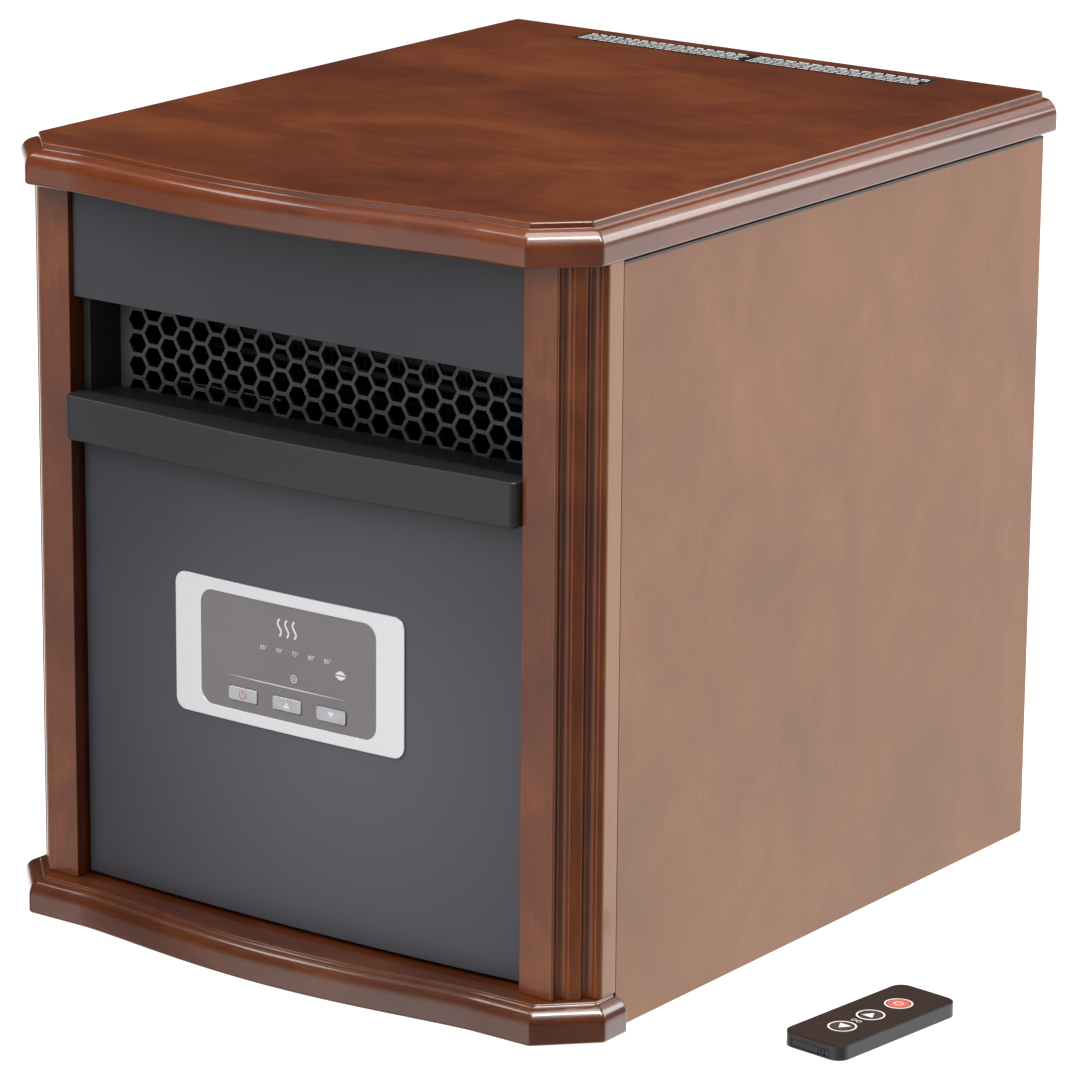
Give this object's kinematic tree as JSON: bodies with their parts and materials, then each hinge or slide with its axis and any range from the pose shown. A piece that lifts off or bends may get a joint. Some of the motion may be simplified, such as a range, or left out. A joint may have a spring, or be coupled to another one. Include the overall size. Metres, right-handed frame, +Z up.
{
  "type": "ceramic space heater",
  "caption": "Wood-cabinet ceramic heater with a hexagon outlet grille, front buttons, a rear filter cassette and a card remote control.",
  "frame": {"origin": "middle of the cabinet's underside, on the floor; halfway between the front posts' face and the side panels' rear edge", "axes": "+Z up, the front faces -Y, +X to the right of someone who looks at the front"},
  "size_m": [0.4576, 0.4195, 0.3802],
  "materials": {
    "stained_wood": "satin lacquer, red-brown",
    "side_veneer": "satin lacquer, lighter brown",
    "plain_board": "raw board",
    "black_steel": "satin black powder coat",
    "black_plastic": "satin black",
    "grille_steel": "satin black",
    "bezel_silver": "satin silver-white",
    "fascia_grey": "satin grey film",
    "lens_clear": "clear",
    "button_silver": "metallised",
    "housing_grey": "matte",
    "board_green": "satin solder mask",
    "galvanised": "galvanised sheet",
    "bright_steel": "plain steel",
    "ceramic_grey": "unglazed, dark grey",
    "dark_sheet": "heat-darkened sheet",
    "fin_aluminium": "dark coated",
    "black_rubber": "matte",
    "foam_black": "open foam",
    "nylon_ivory": "matte",
    "wire_red": "satin",
    "strip_black": "satin film",
    "remote_black": "satin",
    "remote_film": "gloss film",
    "key_red": "gloss film",
    "key_black": "gloss film",
    "emitter_dark": "dark tinted"
  },
  "bodies": {
    "cabinet": {"top_panel": "stained_wood", "side_panel_left": "side_veneer", "side_panel_right": "side_veneer", "front_post_left": "stained_wood", "front_post_right": "stained_wood", "base_moulding": "stained_wood", "bottom_panel": "plain_board", "top_cleats": "plain_board", "rear_cleats": "plain_board", "corner_blocks": "plain_board", "glide_pads": "black_rubber", "upper_front_panel": "black_steel", "lower_front_panel": "black_steel", "panel_spacers": "black_rubber", "outlet_frame": "black_plastic", "outlet_grille": "grille_steel", "outlet_shelf": "black_plastic", "control_bezel": "bezel_silver", "control_fascia": "fascia_grey", "indicator_lens": "lens_clear", "control_housing": "housing_grey", "control_board": "board_green", "air_duct": "dark_sheet", "heater_frame": "dark_sheet", "ceramic_bars": "ceramic_grey", "heater_fins": "fin_aluminium", "airflow_lip": "dark_sheet", "thermal_cutoff": "nylon_ivory", "blower_scroll": "galvanised", "blower_inlet_plate": "galvanised", "blower_motor": "bright_steel", "motor_bracket": "galvanised", "blower_stand": "galvanised", "rear_panel": "black_steel", "cord_bushing": "black_rubber", "terminal_block": "nylon_ivory", "power_board": "board_green", "tip_switch": "housing_grey", "wiring": "wire_red", "rear_screws": "bright_steel", "warning_strip": "strip_black"},
    "power_button": {"button_power": "button_silver"},
    "up_button": {"button_up": "button_silver"},
    "down_button": {"button_down": "button_silver"},
    "blower_rotor": {"blower_wheel": "housing_grey", "blower_shaft": "bright_steel"},
    "filter_cassette": {"filter_grid": "housing_grey", "filter_frame": "housing_grey", "filter_foam": "foam_black"},
    "plunger": {"tip_plunger": "nylon_ivory"},
    "remote": {"remote_base": "remote_black", "remote_cover": "remote_black", "remote_overlay": "remote_film", "remote_board": "board_green", "remote_emitter": "emitter_dark"},
    "remote_power_key": {"remote_key_power": "key_red"},
    "remote_up_key": {"remote_key_up": "key_black"},
    "remote_down_key": {"remote_key_down": "key_black"},
    "battery_drawer": {"remote_tray": "remote_black", "remote_cell": "bright_steel"}
  },
  "joints": [
    {"name": "power_button_press", "type": "slide", "parent": "cabinet", "child": "power_button", "axis": [0, 1, 0], "range_m": [0, 0.0005], "stiffness_N_per_m": 800},
    {"name": "up_button_press", "type": "slide", "parent": "cabinet", "child": "up_button", "axis": [0, 1, 0], "range_m": [0, 0.0005], "stiffness_N_per_m": 800},
    {"name": "down_button_press", "type": "slide", "parent": "cabinet", "child": "down_button", "axis": [0, 1, 0], "range_m": [0, 0.0005], "stiffness_N_per_m": 800},
    {"name": "blower_spin", "type": "hinge", "parent": "cabinet", "child": "blower_rotor", "pos_m": [0, 0.026, 0.208], "axis": [1, 0, 0], "continuous": true},
    {"name": "filter_pull_out", "type": "slide", "parent": "cabinet", "child": "filter_cassette", "axis": [0, 1, 0], "range_m": [0, 0.06]},
    {"name": "tip_plunger_drop", "type": "slide", "parent": "cabinet", "child": "plunger", "axis": [0, 0, -1], "range_m": [0, 0.0045]},
    {"name": "remote_lift", "type": "slide", "parent": "cabinet", "child": "remote", "axis": [0, 0, 1], "range_m": [0, 0.12]},
    {"name": "remote_power_press", "type": "slide", "parent": "remote", "child": "remote_power_key", "axis": [0, 0, -1], "range_m": [0, 0.0003], "stiffness_N_per_m": 400},
    {"name": "remote_up_press", "type": "slide", "parent": "remote", "child": "remote_up_key", "axis": [0, 0, -1], "range_m": [0, 0.0003], "stiffness_N_per_m": 400},
    {"name": "remote_down_press", "type": "slide", "parent": "remote", "child": "remote_down_key", "axis": [0, 0, -1], "range_m": [0, 0.0003], "stiffness_N_per_m": 400},
    {"name": "battery_tray_slide", "type": "slide", "parent": "remote", "child": "battery_drawer", "axis": [-0.1132, -0.9936, 0], "range_m": [0, 0.03]}
  ]
}
